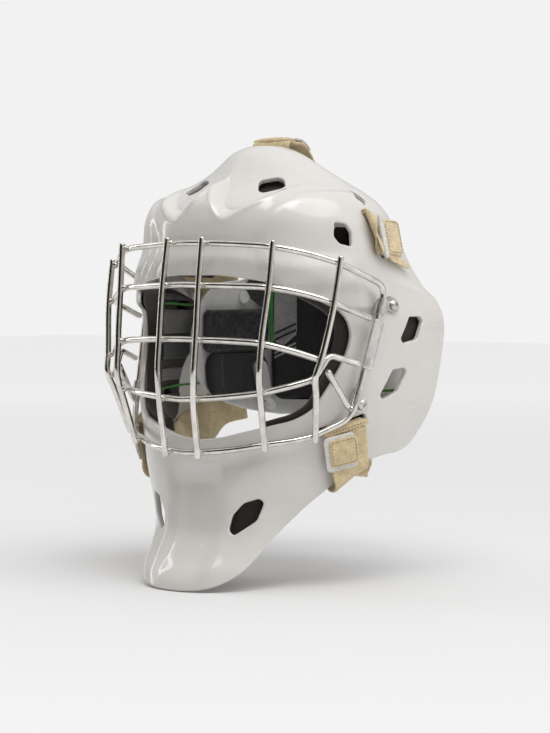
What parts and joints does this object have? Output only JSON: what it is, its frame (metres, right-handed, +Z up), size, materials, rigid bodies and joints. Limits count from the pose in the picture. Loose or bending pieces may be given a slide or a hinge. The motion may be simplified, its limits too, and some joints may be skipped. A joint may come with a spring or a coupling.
{
  "type": "goalie mask",
  "caption": "Ice-hockey goalie mask: white moulded shell, wire cage on screwed clips, foam liner, hinged padded backplate and a five-strap harness with peel-open tabs.",
  "frame": {"origin": "inside the wearer's head, on the mask's plane of symmetry, at the height of the cage's eye bar less 22 mm and 114 mm behind the front of the cage", "axes": "+Z up, -Y the way the mask faces, +X to the wearer's left"},
  "size_m": [0.2294, 0.2409, 0.3246],
  "materials": {
    "shell_white": "polished gloss over a moulded composite shell",
    "cage_steel": "electropolished stainless wire",
    "hardware_steel": "bright zinc-plated pressed and turned steel",
    "liner_foam": "black closed-cell foam with a fine textile face",
    "backplate_plastic": "satin white moulded plastic",
    "pad_foam": "dark textured textile over foam",
    "strap_elastic": "tan loop pile on woven elastic",
    "tab_webbing": "loop pile tab with white bound edges",
    "plate_label": "plain satin metal"
  },
  "bodies": {
    "shell_and_cage": {"cage_brow_bar": "cage_steel", "cage_clip_lower_left": "hardware_steel", "cage_clip_lower_right": "hardware_steel", "cage_clip_upper_left": "hardware_steel", "cage_clip_upper_right": "hardware_steel", "cage_diagonal_brace_left": "cage_steel", "cage_diagonal_brace_right": "cage_steel", "cage_eye_bar": "cage_steel", "cage_mouth_bar": "cage_steel", "cage_nut_lower_left": "hardware_steel", "cage_nut_lower_right": "hardware_steel", "cage_nut_upper_left": "hardware_steel", "cage_nut_upper_right": "hardware_steel", "cage_perimeter_wire": "cage_steel", "cage_rating_plate": "plate_label", "cage_screw_lower_left": "hardware_steel", "cage_screw_lower_right": "hardware_steel", "cage_screw_upper_left": "hardware_steel", "cage_screw_upper_right": "hardware_steel", "cage_upright_inner_left": "cage_steel", "cage_upright_inner_right": "cage_steel", "cage_upright_middle_left": "cage_steel", "cage_upright_middle_right": "cage_steel", "cage_upright_outer_left": "cage_steel", "cage_upright_outer_right": "cage_steel", "chin_pad": "liner_foam", "crown_pad": "liner_foam", "forehead_pad": "liner_foam", "shell": "shell_white", "side_liner_left": "liner_foam", "side_liner_right": "liner_foam", "strap_lower_left": "strap_elastic", "strap_lower_right": "strap_elastic", "strap_top": "strap_elastic", "strap_upper_left": "strap_elastic", "strap_upper_right": "strap_elastic", "temple_pad_left": "liner_foam", "temple_pad_right": "liner_foam"},
    "backplate_unit": {"backplate": "backplate_plastic", "backplate_pad_centre": "pad_foam", "backplate_pad_left": "pad_foam", "backplate_pad_right": "pad_foam", "backplate_rivet_lower_left": "backplate_plastic", "backplate_rivet_lower_right": "backplate_plastic", "backplate_rivet_top": "backplate_plastic", "backplate_rivet_upper_left": "backplate_plastic", "backplate_rivet_upper_right": "backplate_plastic"},
    "tab_lower_left": {"strap_tab_lower_left": "tab_webbing"},
    "tab_lower_right": {"strap_tab_lower_right": "tab_webbing"},
    "tab_top": {"strap_tab_top": "tab_webbing"},
    "tab_upper_left": {"strap_tab_upper_left": "tab_webbing"},
    "tab_upper_right": {"strap_tab_upper_right": "tab_webbing"}
  },
  "joints": [
    {"name": "backplate_swing", "type": "hinge", "parent": "shell_and_cage", "child": "backplate_unit", "pos_m": [0, 0.08, 0.12], "axis": [1, 0, 0], "range_deg": [0, 22], "deforming": ["strap_lower_left", "strap_lower_right", "strap_top", "strap_upper_left", "strap_upper_right"]},
    {"name": "tab_lower_left_peel", "type": "hinge", "parent": "shell_and_cage", "child": "tab_lower_left", "pos_m": [0.09606, -0.04969, -0.04449], "axis": [-0.5081, -0.8354, -0.2097], "range_deg": [0, 90]},
    {"name": "tab_lower_right_peel", "type": "hinge", "parent": "shell_and_cage", "child": "tab_lower_right", "pos_m": [-0.09606, -0.04969, -0.04449], "axis": [-0.5081, 0.8354, 0.2097], "range_deg": [0, 90]},
    {"name": "tab_top_peel", "type": "hinge", "parent": "shell_and_cage", "child": "tab_top", "pos_m": [0, 0.006, 0.1694], "axis": [1, 0, 0], "range_deg": [0, 100]},
    {"name": "tab_upper_left_peel", "type": "hinge", "parent": "shell_and_cage", "child": "tab_upper_left", "pos_m": [0.10044, -0.01051, 0.09584], "axis": [0.2073, -0.0151, -0.9782], "range_deg": [0, 100]},
    {"name": "tab_upper_right_peel", "type": "hinge", "parent": "shell_and_cage", "child": "tab_upper_right", "pos_m": [-0.10044, -0.01051, 0.09584], "axis": [0.2073, 0.0151, 0.9782], "range_deg": [0, 100]}
  ]
}
